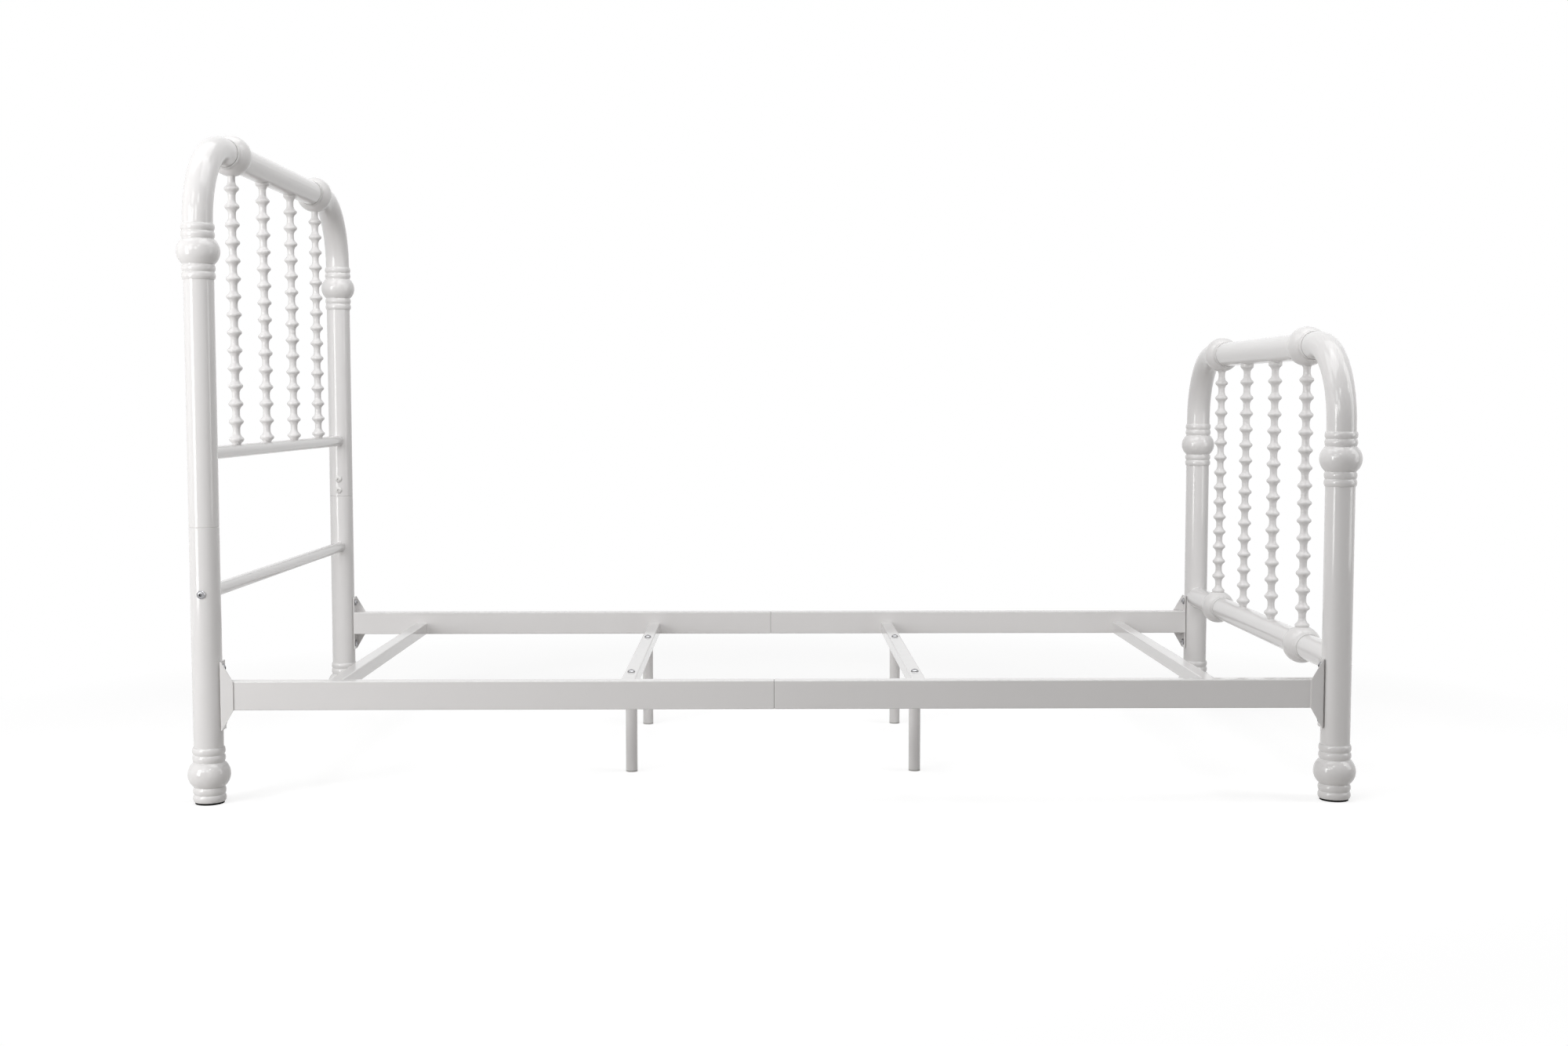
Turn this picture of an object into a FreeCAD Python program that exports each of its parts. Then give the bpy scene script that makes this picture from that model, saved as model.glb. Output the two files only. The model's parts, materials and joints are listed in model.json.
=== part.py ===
"""Spool bed for a twin mattress, in millimetres, +Z up, head at -X, the sleeper's left at +Y.

A knock-down bedstead: two boards of bent round tube with turned spool spindles, side rails in
two halves each, cross slats with support legs, and the castings and fasteners that join them.
"""
import FreeCAD, Part
import os
import Sketcher

SPINDLES = 4
BEADS = 15
SLATS = 4
HEX = 6

SIZES = [
    ("bed_length", 1960, "post axis to post axis, head to foot"),
    ("bed_width", 1016, "post axis to post axis, side to side"),
    ("headboard_height", 1137, "floor to the axis of the headboard's top rail"),
    ("footboard_height", 796, "floor to the axis of the footboard's top rail"),
    ("post_diameter", 50.8, "tube of the posts and top rails"),
    ("post_wall", 1, "wall of that tube"),
    ("bend_radius", 140, "axis radius of the bend from post to top rail"),
    ("post_run", 63.2, "level part of a bent post, from its bend to the middle of its collar"),
    ("fit_gap", 0.1, "radial room of a round slip fit"),
    ("slide_gap", 0.3, "room on each side of a square slip fit"),
    ("butt_gap", 0.4, "room between two tube ends that meet"),
    ("seam_chamfer", 0.8, "rims of two tube ends that meet in sight"),
    ("overrun", 5, "how far a cutter passes the face that it cuts"),
    ("casting_wall", 0.8, "wall of a turned casting in its grooves"),
    ("ball_rise", 10.9, "ball of a post ornament, out from the post's surface"),
    ("ball_height", 43, "height of that ball between its grooves"),
    ("ring_rise", 2.7, "rings above and below the ball, out from the post's surface"),
    ("ring_height", 12.2, "height of one ring"),
    ("groove_height", 0.7, "plain groove between two turned forms"),
    ("headboard_ornament_gap", 0.2, "ornament below the bend of a headboard post"),
    ("footboard_ornament_gap", 12.7, "ornament below the bend of a footboard post"),
    ("collar_length", 92, "ball collar with its two necks, along the rail"),
    ("collar_ball_length", 50, "its ball, along the rail, to where it would meet the necks"),
    ("collar_rise", 11.2, "its ball, out from the rail's surface"),
    ("collar_hollow", 8, "radius of the hollow between its ball and a neck"),
    ("bead_diameter", 26.6, "spool bead of a spindle"),
    ("neck_diameter", 13.5, "neck between two beads"),
    ("bead_edge_radius", 4.4, "rounding of a bead's rim"),
    ("cove_share", 0.405, "hollow from rim to neck, as a share of the beads' pitch"),
    ("headboard_spindle_lead", 0.3, "top rail down to the first bead, in the headboard"),
    ("footboard_spindle_lead", 3.7, "top rail down to the first bead, in the footboard"),
    ("headboard_spindle_tail", 8.3, "last bead to the rail below it, in the headboard"),
    ("footboard_spindle_tail", 12, "last bead to the rail below it, in the footboard"),
    ("rod_diameter", 6, "core rod of a spindle"),
    ("rod_reach", 4, "how far a core rod stands inside a rail"),
    ("cross_rail_diameter", 23.8, "headboard's two thin rails"),
    ("cross_rail_wall", 0.9, "wall of those rails"),
    ("spindle_rail_height", 605.6, "floor to the axis of the rail under the headboard's spindles"),
    ("seam_drop", 125.6, "that axis down to the seam between upper post and headboard leg"),
    ("lower_rail_drop", 114.6, "that seam down to the axis of the headboard's lower rail"),
    ("foot_rail_diameter", 47, "footboard's lower rail"),
    ("foot_rail_wall", 1, "wall of that rail"),
    ("foot_rail_height", 245.8, "floor to the axis of that rail"),
    ("sleeve_length", 120, "joint sleeve inside a headboard post"),
    ("sleeve_wall", 1.5, "wall of that sleeve"),
    ("joint_bolt_rise", 14, "seam to the first joint bolt"),
    ("joint_bolt_spacing", 25, "first to second joint bolt"),
    ("cap_inset", 0.9, "rim of a foot cap, in from the post's surface"),
    ("cap_thickness", 3.6, "floor to the end of the post tube"),
    ("cap_plug_depth", 18, "plug of a foot cap inside the tube"),
    ("rail_height", 50, "side rail section, upright"),
    ("rail_width", 25, "side rail section, across"),
    ("rail_wall", 1, "wall of a side rail"),
    ("rail_corner", 2, "outer corner radius of a side rail"),
    ("rail_underside", 163.5, "floor to the underside of the side rails"),
    ("connector_length", 240, "sleeve that joins the two halves of a side rail"),
    ("connector_wall", 1.5, "wall of that sleeve"),
    ("bracket_height", 120, "rail bracket along the post"),
    ("bracket_length", 22.3, "rail bracket along the rail"),
    ("bracket_thickness", 2, "plate of a rail bracket"),
    ("bracket_bolt_inset", 13, "end of a rail bracket to the nearest bolt"),
    ("slat_size", 25, "square section of a cross slat"),
    ("slat_wall", 1, "wall of a slat"),
    ("slat_corner", 2, "outer corner radius of a slat"),
    ("slat_inset", 180.5, "post axis to the nearest slat, along the bed"),
    ("stub_length", 40, "stub on the side rail inside a slat's end"),
    ("stub_wall", 1.5, "wall of a stub"),
    ("leg_diameter", 22, "support leg under a middle slat"),
    ("leg_wall", 1, "wall of a support leg"),
    ("leg_spacing", 500, "support leg to support leg, across the bed"),
    ("leg_cap_thickness", 3, "floor to the end of a support leg's tube"),
    ("leg_cap_plug_depth", 12, "plug of a support leg's cap"),
    ("plug_length", 25, "threaded plug in a tube's end"),
    ("bolt_diameter", 8, "shank of every bolt"),
    ("bolt_gap", 0.3, "radial room of a bolt in its hole"),
    ("bolt_length", 15, "shank of a short bolt under its head"),
    ("bolt_head_diameter", 14.5, "button head of a bolt"),
    ("bolt_head_height", 4.2, "height of that head"),
    ("bolt_rim_height", 1, "upright rim of that head"),
    ("socket_width", 5.8, "hexagon socket, corner to corner"),
    ("socket_depth", 2.4, "depth of that socket"),
    ("nut_diameter", 11, "threaded insert that takes a short bolt"),
    ("nut_length", 11, "length of that insert"),
    ("nut_recess", 1.2, "insert's end below a round tube's surface"),
]


def bead_pitch(board):
    """Formula for the distance from bead to bead on a board's spindles."""
    span = ["Places.%s_spindle_top", "Places.%s_spindle_foot",
            "Sizes.%s_spindle_lead", "Sizes.%s_spindle_tail"]
    return "(%s) / %d" % (" - ".join(name % board for name in span), BEADS)


# Worked-out sizes, and places as distances from the middle of the bed or from the floor.
PLACES = [
    ("post_x", "Sizes.bed_length / 2"),
    ("post_y", "Sizes.bed_width / 2"),
    ("post_radius", "Sizes.post_diameter / 2"),
    ("post_bore", "Places.post_radius - Sizes.post_wall"),
    ("sleeve_radius", "Places.post_bore - Sizes.fit_gap"),
    ("sleeve_bore", "Places.sleeve_radius - Sizes.sleeve_wall"),
    ("cap_radius", "Places.post_radius - Sizes.cap_inset"),
    ("seam_height", "Sizes.spindle_rail_height - Sizes.seam_drop"),
    ("lower_rail_height", "Places.seam_height - Sizes.lower_rail_drop"),
    ("collar_y", "Places.post_y - Sizes.bend_radius - Sizes.post_run"),
    ("spindle_spacing", "2 * Places.collar_y / %d" % (SPINDLES - 1)),
    ("collar_swell", "Sizes.collar_rise - Sizes.fit_gap - Sizes.casting_wall"),
    ("collar_ball_half", "Sizes.collar_ball_length / 2"),
    ("collar_arc", "(Places.collar_ball_half ^ 2 + Places.collar_swell ^ 2) / (2 * Places.collar_swell)"),
    ("collar_blend", "Places.collar_arc + Sizes.collar_hollow"),
    ("hollow_end", "sqrt(Places.collar_ball_half ^ 2 + 2 * Places.collar_swell * Sizes.collar_hollow)"),
    ("hollow_start", "Places.hollow_end * Places.collar_arc / Places.collar_blend"),
    ("hollow_rise", "Places.collar_swell * Sizes.collar_hollow / Places.collar_blend"),
    ("hollow_lean_share", "Places.collar_swell / Places.collar_blend"),
    ("hollow_via", "Places.hollow_end - Sizes.collar_hollow * sqrt(Places.hollow_lean_share / 2)"),
    ("hollow_via_rise", "Sizes.collar_hollow * (1 - sqrt(1 - Places.hollow_lean_share / 2))"),
    ("casting_bore", "Places.post_radius + Sizes.fit_gap"),
    ("casting_neck", "Places.casting_bore + Sizes.casting_wall"),
    ("ball_radius", "Places.post_radius + Sizes.ball_rise"),
    ("ring_radius", "Places.post_radius + Sizes.ring_rise"),
    ("ornament_half", "Sizes.ball_height / 2 + 2 * (Sizes.ring_height + Sizes.groove_height)"),
    ("ornament_drop", "Sizes.bend_radius + Places.ornament_half"),
    ("headboard_ornament_height",
     "Sizes.headboard_height - Places.ornament_drop - Sizes.headboard_ornament_gap"),
    ("footboard_ornament_height",
     "Sizes.footboard_height - Places.ornament_drop - Sizes.footboard_ornament_gap"),
    ("foot_ornament_height", "Sizes.cap_thickness + Places.ornament_half"),
    ("cross_rail_radius", "Sizes.cross_rail_diameter / 2"),
    ("cross_rail_bore", "Places.cross_rail_radius - Sizes.cross_rail_wall"),
    ("foot_rail_radius", "Sizes.foot_rail_diameter / 2"),
    ("foot_rail_bore", "Places.foot_rail_radius - Sizes.foot_rail_wall"),
    ("lower_collar_bore", "Places.foot_rail_radius + Sizes.fit_gap"),
    ("lower_collar_neck", "Places.lower_collar_bore + Sizes.casting_wall"),
    ("rod_radius", "Sizes.rod_diameter / 2"),
    ("rod_hole", "Places.rod_radius + Sizes.fit_gap"),
    ("headboard_spindle_top", "Sizes.headboard_height - Places.post_radius"),
    ("headboard_spindle_foot", "Sizes.spindle_rail_height + Places.cross_rail_radius"),
    ("footboard_spindle_top", "Sizes.footboard_height - Places.post_radius"),
    ("footboard_spindle_foot", "Sizes.foot_rail_height + Places.foot_rail_radius"),
    ("headboard_bead_pitch", bead_pitch("headboard")),
    ("footboard_bead_pitch", bead_pitch("footboard")),
    ("bead_radius", "Sizes.bead_diameter / 2"),
    ("neck_radius", "Sizes.neck_diameter / 2"),
    ("bead_rise", "Places.bead_radius - Places.neck_radius"),
    ("cove_rise", "Sizes.cove_share * min(Places.headboard_bead_pitch; Places.footboard_bead_pitch)"),
    ("blend", "(Places.cove_rise ^ 2 + Places.bead_rise ^ 2) / (2 * Places.bead_rise)"),
    ("cove_radius", "Places.blend - Sizes.bead_edge_radius"),
    ("rim_axis", "Places.bead_radius - Sizes.bead_edge_radius"),
    ("cove_axis", "Places.neck_radius + Places.cove_radius"),
    ("lean_share", "(Places.cove_axis - Places.rim_axis) / Places.blend"),
    ("cos_share", "sqrt((1 + Places.lean_share) / 2)"),
    ("sin_share", "sqrt((1 - Places.lean_share) / 2)"),
    ("shoulder_radius", "Places.rim_axis + Sizes.bead_edge_radius * Places.lean_share"),
    ("shoulder_rise", "Places.cove_rise * Sizes.bead_edge_radius / Places.blend"),
    ("rim_via_radius", "Places.rim_axis + Sizes.bead_edge_radius * Places.cos_share"),
    ("rim_via_rise", "Sizes.bead_edge_radius * Places.sin_share"),
    ("cove_via_radius", "Places.cove_axis - Places.cove_radius * Places.cos_share"),
    ("cove_via_rise", "Places.cove_rise - Places.cove_radius * Places.sin_share"),
    ("rail_z", "Sizes.rail_underside + Sizes.rail_height / 2"),
    ("rail_end", "Places.post_x - Places.post_radius - Sizes.bracket_thickness"),
    ("rail_inner_y", "Places.post_y - Sizes.rail_width / 2"),
    ("bracket_bolt_rise", "Sizes.bracket_height / 2 - Sizes.bracket_bolt_inset"),
    ("connector_height", "Sizes.rail_height - 2 * (Sizes.rail_wall + Sizes.slide_gap)"),
    ("connector_width", "Sizes.rail_width - 2 * (Sizes.rail_wall + Sizes.slide_gap)"),
    ("connector_corner", "max(Sizes.rail_corner - Sizes.rail_wall; Sizes.slide_gap)"),
    ("slat_spacing", "(Sizes.bed_length - 2 * Sizes.slat_inset) / %d" % (SLATS - 1)),
    ("slat_z", "Sizes.rail_underside + Sizes.slat_size / 2"),
    ("slat_top", "Sizes.rail_underside + Sizes.slat_size"),
    ("slat_end", "Places.rail_inner_y - Sizes.butt_gap / 2"),
    ("stub_size", "Sizes.slat_size - 2 * (Sizes.slat_wall + Sizes.slide_gap)"),
    ("stub_corner", "max(Sizes.slat_corner - Sizes.slat_wall; Sizes.slide_gap)"),
    ("slat_bolt_y", "Places.rail_inner_y - Sizes.stub_length / 2"),
    ("leg_radius", "Sizes.leg_diameter / 2"),
    ("leg_bore", "Places.leg_radius - Sizes.leg_wall"),
    ("leg_x", "Places.slat_spacing / 2"),
    ("leg_y", "Sizes.leg_spacing / 2"),
    ("bolt_radius", "Sizes.bolt_diameter / 2"),
    ("bolt_hole", "Places.bolt_radius + Sizes.bolt_gap"),
    ("bolt_thread", "Places.bolt_radius + Sizes.fit_gap"),
    ("bolt_head_radius", "Sizes.bolt_head_diameter / 2"),
    ("bolt_crown", "Sizes.bolt_head_height - Sizes.bolt_rim_height"),
    ("nut_hole", "Sizes.nut_diameter / 2 + Sizes.fit_gap"),
    ("lower_bolt_length", "Sizes.post_diameter + Sizes.plug_length"),
    ("leg_bolt_length", "Sizes.slat_size + Sizes.plug_length"),
]

BOARD_ENDS = {"headboard": -1, "footboard": 1}
SIDES = {"left": 1, "right": -1}
RAIL_ENDS = {"head": -1, "foot": 1}

UP = FreeCAD.Vector(0, 0, 1)
TOWARD = {
    (axis, sign): FreeCAD.Rotation(UP, FreeCAD.Vector(*[sign * (axis == name) for name in "xyz"]))
    for axis in "xyz"
    for sign in (1, -1)
}
UPRIGHT = TOWARD["z", 1]

doc = FreeCAD.newDocument("SpoolBed")
nodes = []


def fill_sheet(name, rows):
    """A sheet with one aliased cell for each row's name and content."""
    sheet = doc.addObject("Spreadsheet::Sheet", name)
    for row, (alias, content, note) in enumerate(rows, 1):
        sheet.set("A%d" % row, alias)
        sheet.set("B%d" % row, content)
        sheet.set("C%d" % row, note)
        sheet.setAlias("B%d" % row, alias)
    return sheet


sizes = fill_sheet("Sizes", [(alias, str(value), note) for alias, value, note in SIZES])
fill_sheet("Places", [(alias, "=" + formula, "") for alias, formula in PLACES])
doc.recompute()


def number(formula):
    """The present value of a formula."""
    return float(sizes.evalExpression(formula))


def bind(thing, **formulas):
    """Tie properties of a document object to formulas."""
    for name, formula in formulas.items():
        thing.setExpression(name, formula)
    return thing


def place(thing, x="0", y="0", z="0", turn=UPRIGHT):
    """Give an object its orientation, and a position tied to formulas."""
    thing.Placement = FreeCAD.Placement(FreeCAD.Vector(), turn)
    for axis, formula in zip("xyz", (x, y, z)):
        thing.setExpression("Placement.Base." + axis, formula)
    return thing


def node(label, thing):
    """Enter a finished piece under the name of its file."""
    thing.Label = label
    nodes.append(thing)
    return thing


def cylinder(name, radius, length, x="0", y="0", z="0", toward=("z", 1)):
    """Solid round bar from a point along an axis."""
    bar = bind(doc.addObject("Part::Cylinder", name), Radius=radius, Height=length)
    return place(bar, x, y, z, TOWARD[toward])


def cut(name, base, *tools):
    """The base less all the tools."""
    result = doc.addObject("Part::Cut", name)
    result.Base = base
    result.Tool = tools[0] if len(tools) == 1 else fuse(name + "_tools", *tools)
    return result


def fuse(name, *pieces):
    """All the pieces as one solid."""
    result = doc.addObject("Part::MultiFuse", name)
    result.Shapes = list(pieces)
    return result


def group(label, pieces):
    """Identical small pieces that share one node."""
    result = doc.addObject("Part::Compound", label)
    result.Links = list(pieces)
    return node(label, result)


def copy(name, original, x="0", y="0", z="0", turn=UPRIGHT):
    """A linked copy of a piece at another place."""
    link = doc.addObject("App::Link", name)
    link.LinkedObject = original
    return place(link, x, y, z, turn)


def tube(name, radius, bore, length, x="0", y="0", z="0", toward=("z", 1)):
    """Straight round tube from a point along an axis."""
    outer = cylinder(name + "_outer", radius, length, x, y, z, toward)
    inner = cylinder(name + "_bore", bore, length, x, y, z, toward)
    return cut(name + "_tube", outer, inner)


def pin_point(sketch, geometry, end, x, y):
    """Tie a sketch point to a place given by two formulas."""
    for kind, formula, axis in (("DistanceX", x, -2), ("DistanceY", y, -1)):
        if formula == "0":
            sketch.addConstraint(Sketcher.Constraint("PointOnObject", geometry, end, axis))
            continue
        link = Sketcher.Constraint(kind, -1, 1, geometry, end, number(formula))
        index = sketch.addConstraint(link)
        sketch.setExpression("Constraints[%d]" % index, formula)


def draw_loop(sketch, corners):
    """Closed outline. A corner is (x, y), or (x, y, via_x, via_y) where an arc leaves it."""
    spots = [FreeCAD.Vector(number(corner[0]), number(corner[1]), 0) for corner in corners]
    ends = []
    for index, corner in enumerate(corners):
        start, finish = spots[index], spots[(index + 1) % len(spots)]
        if len(corner) == 2:
            edge = sketch.addGeometry(Part.LineSegment(start, finish), False)
        else:
            via = FreeCAD.Vector(number(corner[2]), number(corner[3]), 0)
            edge = sketch.addGeometry(Part.Arc(start, via, finish), False)
            mark = sketch.addGeometry(Part.Point(via), True)
            sketch.addConstraint(Sketcher.Constraint("PointOnObject", mark, 1, edge))
            pin_point(sketch, mark, 1, corner[2], corner[3])
        near, far = [sketch.getPoint(edge, end).distanceToPoint(start) for end in (1, 2)]
        ends.append((edge, (1, 2) if near < far else (2, 1)))
    for index, (edge, (start, finish)) in enumerate(ends):
        following, (next_start, _) = ends[(index + 1) % len(ends)]
        sketch.addConstraint(Sketcher.Constraint("Coincident", edge, finish, following, next_start))
        pin_point(sketch, edge, start, corners[index][0], corners[index][1])


def sketch_on(body, name, role, *loops):
    """Sketch on one of the body's own origin planes."""
    sketch = body.newObject("Sketcher::SketchObject", name)
    plane = [feature for feature in body.Origin.OriginFeatures if feature.Role == role]
    sketch.AttachmentSupport = [(plane[0], "")]
    sketch.MapMode = "FlatFace"
    for loop in loops:
        draw_loop(sketch, loop)
    return sketch


def turn(body, name, outline):
    """Add a form that is turned about the body's upright axis."""
    sketch = sketch_on(body, name + "_outline", "XZ_Plane", outline)
    form = body.newObject("PartDesign::Revolution", name)
    form.Profile = sketch
    form.ReferenceAxis = (sketch, ["V_Axis"])
    form.Angle = 360
    body.Tip = form
    return form


def extrude(name, role, length, *loops):
    """A body padded from a sketch with one or more outlines."""
    body = doc.addObject("PartDesign::Body", name)
    sketch = sketch_on(body, name + "_section", role, *loops)
    pad = body.newObject("PartDesign::Pad", name + "_pad")
    pad.Profile = sketch
    bind(pad, Length=length)
    body.Tip = pad
    return body


def turned_stack(name, inner, neck, bottom, stack):
    """Turned casting: bulges (height, radius) stacked upwards on its neck, grooves with no radius."""
    outline = [(inner, bottom)]
    level = bottom
    for height, radius in stack:
        middle = "%s + (%s) / 2" % (level, height)
        outline.append((neck, level, radius, middle) if radius else (neck, level))
        level = "%s + %s" % (level, height)
    outline += [(neck, level), (inner, level)]
    body = doc.addObject("PartDesign::Body", name)
    turn(body, name + "_turned", outline)
    return body


def rounded_rectangle(width, height, corner):
    """Corners of a rectangle about the origin whose quarter-round corners have one radius."""
    bulge_share = "(1 - sqrt(0.5))"
    across, up = "(%s) / 2" % width, "(%s) / 2" % height
    loop = []
    for x_sign, y_sign, level_first in ((1, -1, False), (1, 1, True), (-1, 1, False), (-1, -1, True)):
        x, y = "%d * (%s)" % (x_sign, across), "%d * (%s)" % (y_sign, up)
        inset_x = "%d * (%s - (%s))" % (x_sign, across, corner)
        inset_y = "%d * (%s - (%s))" % (y_sign, up, corner)
        via_x = "%d * (%s - (%s) * %s)" % (x_sign, across, corner, bulge_share)
        via_y = "%d * (%s - (%s) * %s)" % (y_sign, up, corner, bulge_share)
        before, after = ((x, inset_y), (inset_x, y)) if level_first else ((inset_x, y), (x, inset_y))
        loop += [(*before, via_x, via_y), after]
    return loop


def square_tube(name, width, height, wall, corner, length):
    """Rectangular tube with rounded corners, from the origin along +X."""
    inner_corner = "max(%s - %s; Sizes.slide_gap)" % (corner, wall)
    inner = ["%s - 2 * %s" % (side, wall) for side in (width, height)]
    outer_loop = rounded_rectangle(width, height, corner)
    return extrude(name, "YZ_Plane", length, outer_loop, rounded_rectangle(*inner, inner_corner))


def chamfer_rim(body, level):
    """Break the outer rim of a tube's end that lies at a level along its axis."""
    body.recompute(True)
    pad = body.Tip
    place_of_end = number(level)
    end = min(pad.Shape.Faces, key=lambda face: abs(face.CenterOfMass.x - place_of_end))
    rim = end.OuterWire.Edges
    edges = ["Edge%d" % index for index, edge in enumerate(pad.Shape.Edges, 1)
             if any(edge.isSame(other) for other in rim)]
    chamfer = body.newObject("PartDesign::Chamfer", body.Name + "_chamfer")
    chamfer.Base = (pad, edges)
    bind(chamfer, Size="Sizes.seam_chamfer")
    body.Tip = chamfer


def seam_ring(name):
    """Turned cutter with a V edge, which chamfers both rims at a seam of a post."""
    outer, flare = "Places.post_radius + Sizes.overrun", "Sizes.seam_chamfer + Sizes.overrun"
    body = doc.addObject("PartDesign::Body", name)
    turn(body, name + "_form", [
        ("Places.post_radius - Sizes.seam_chamfer", "0"),
        (outer, "-(%s)" % flare),
        (outer, flare),
    ])
    return body


def bent_solid(name, radius, x, side, bottom, rail_height):
    """Post that rises, bends inwards and runs level to the middle of its collar."""
    y = "%d * Places.post_y" % side
    bend_y = "%d * (Places.post_y - Sizes.bend_radius)" % side
    bend_z = "%s - Sizes.bend_radius" % rail_height
    run = "Sizes.post_run - Sizes.butt_gap / 2"
    rise = cylinder(name + "_rise", radius, "%s - (%s)" % (bend_z, bottom), x, y, bottom)
    level = cylinder(name + "_level", radius, run, x, bend_y, rail_height, ("y", -side))
    bend = bind(doc.addObject("Part::Torus", name + "_bend"), Radius1="Sizes.bend_radius", Radius2=radius)
    bend.Angle3 = 90
    outward = FreeCAD.Vector(0, side, 0)
    place(bend, x, bend_y, bend_z, FreeCAD.Rotation(outward, UP, outward.cross(UP), "XYZ"))
    return fuse(name, rise, bend, level)


def bent_post(name, x, side, bottom, rail_height):
    """Hollow bent post."""
    outer = bent_solid(name + "_outer", "Places.post_radius", x, side, bottom, rail_height)
    inner = bent_solid(name + "_bore", "Places.post_bore", x, side, bottom, rail_height)
    return cut(name + "_tube", outer, inner)


def cross_tube(name, radius, bore, x, z):
    """Tube between two posts, its ends hollowed to sit on them. Returns its solid bar too."""
    start = "-Places.post_y"
    bar = cylinder(name + "_bar", radius, "Sizes.bed_width", x, start, z, ("y", 1))
    hollow = cylinder(name + "_hollow", bore, "Sizes.bed_width", x, start, z, ("y", 1))
    posts = []
    for side, sign in SIDES.items():
        low = "%s - %s - Sizes.overrun" % (z, radius)
        high = "2 * (%s + Sizes.overrun)" % radius
        y = "%d * Places.post_y" % sign
        posts.append(cylinder("%s_cope_%s" % (name, side), "Places.post_radius", high, x, y, low))
    return cut(name + "_tube", bar, hollow, *posts), bar


def spindle_y(index):
    """Place of one spindle across the bed, counted from the right."""
    return "(%d / 2) * Places.spindle_spacing" % (2 * index - SPINDLES + 1)


def is_outer(index):
    """The first and last spindle stand in the collars."""
    return index in (0, SPINDLES - 1)


def rim_to_neck(level):
    """Corners from a bead's rim at a level down to the neck below it."""
    rim = ("Places.bead_radius", level, "Places.rim_via_radius", level + " - Places.rim_via_rise")
    shoulder = ("Places.shoulder_radius", level + " - Places.shoulder_rise")
    cove = ("Places.cove_via_radius", level + " - Places.cove_via_rise")
    return [rim, (*shoulder, *cove), ("Places.neck_radius", level + " - Places.cove_rise")]


def neck_to_rim(level):
    """Corners from a neck down to the rim, at a level, of the bead below it."""
    neck = ("Places.neck_radius", level + " + Places.cove_rise")
    cove = ("Places.cove_via_radius", level + " + Places.cove_via_rise")
    shoulder = ("Places.shoulder_radius", level + " + Places.shoulder_rise")
    rim = ("Places.rim_via_radius", level + " + Places.rim_via_rise")
    return [(*neck, *cove), (*shoulder, *rim), ("Places.bead_radius", level)]


def spool_blank(board, rail_radius):
    """Uncut spindle: a flare into the top rail, beads one pitch apart, and a tail into the rail below."""
    name = board + "_spool"
    pitch = "Places.%s_bead_pitch" % board
    first = "-Sizes.%s_spindle_lead" % board
    following, last = "%s - %s" % (first, pitch), "%s - %d * %s" % (first, BEADS, pitch)
    end = "%s - Sizes.%s_spindle_tail - %s" % (last, board, rail_radius)
    body = doc.addObject("PartDesign::Body", name)
    profile = [("0", first), *rim_to_neck(first), *neck_to_rim(following), ("0", following)]
    cove = turn(body, name + "_cove", profile)
    beads = body.newObject("PartDesign::LinearPattern", name + "_beads")
    beads.Originals = [cove]
    beads.Direction = (cove.Profile[0], ["V_Axis"])
    beads.Reversed = True
    beads.Occurrences = BEADS
    bind(beads, Length="%s * %d" % (pitch, BEADS - 1))
    body.Tip = beads
    turn(body, name + "_tail", [("0", last), *rim_to_neck(last), ("Places.neck_radius", end), ("0", end)])
    turn(body, name + "_flare", [("0", first), ("Places.bead_radius", first),
                                 ("Places.bead_radius", "Places.post_radius"), ("0", "Places.post_radius")])
    return body


def collar_outline(neck):
    """Half section of a collar: a neck, a hollow, the ball, a hollow, a neck."""
    end, hollow_end = "Sizes.collar_length / 2", "Places.hollow_end"
    ball_edge, via = neck + " + Places.hollow_rise", neck + " + Places.hollow_via_rise"
    return [
        ("0", "-" + end),
        (neck, "-" + end),
        (neck, "-" + hollow_end, via, "-Places.hollow_via"),
        (ball_edge, "-Places.hollow_start", neck + " + Places.collar_swell", "0"),
        (ball_edge, "Places.hollow_start", via, "Places.hollow_via"),
        (neck, hollow_end),
        (neck, end),
        ("0", end),
    ]


def collar(name, neck, bore, x, y, z, rod_way):
    """Ball collar on a level tube, drilled for a spindle's rod. Returns it unbored."""
    blank = doc.addObject("PartDesign::Body", name + "_blank")
    turn(blank, name + "_turned", collar_outline(neck))
    place(blank, x, y, z, TOWARD["y", 1])
    start = "%s - Sizes.collar_length / 2 - Sizes.overrun" % y
    length = "Sizes.collar_length + 2 * Sizes.overrun"
    through = cylinder(name + "_bore", bore, length, x, start, z, ("y", 1))
    reach = neck + " + Places.collar_swell + Sizes.overrun"
    drill = cylinder(name + "_drill", "Places.rod_hole", reach, x, y, z, ("z", rod_way))
    node(name, cut(name + "_cut", blank, through, drill))
    return blank


def top_collar(board, side, x, y):
    """Ball collar where a bent post meets the top rail. Returns it unbored."""
    return collar("%s_collar_%s" % (board, side), "Places.casting_neck", "Places.casting_bore", x, y,
                  "Sizes.%s_height" % board, -1)


def ornament(name, x, y, z):
    """Turned casting on a post: a ball with two rings above and two below."""
    ring = ("Sizes.ring_height", "Places.ring_radius")
    ball = ("Sizes.ball_height", "Places.ball_radius")
    groove = ("Sizes.groove_height", None)
    stack = [ring, groove, ring, groove, ball, groove, ring, groove, ring]
    bottom = "-Places.ornament_half"
    body = turned_stack(name + "_body", "Places.casting_bore", "Places.casting_neck", bottom, stack)
    node(name, place(body, x, y, z))


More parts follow.
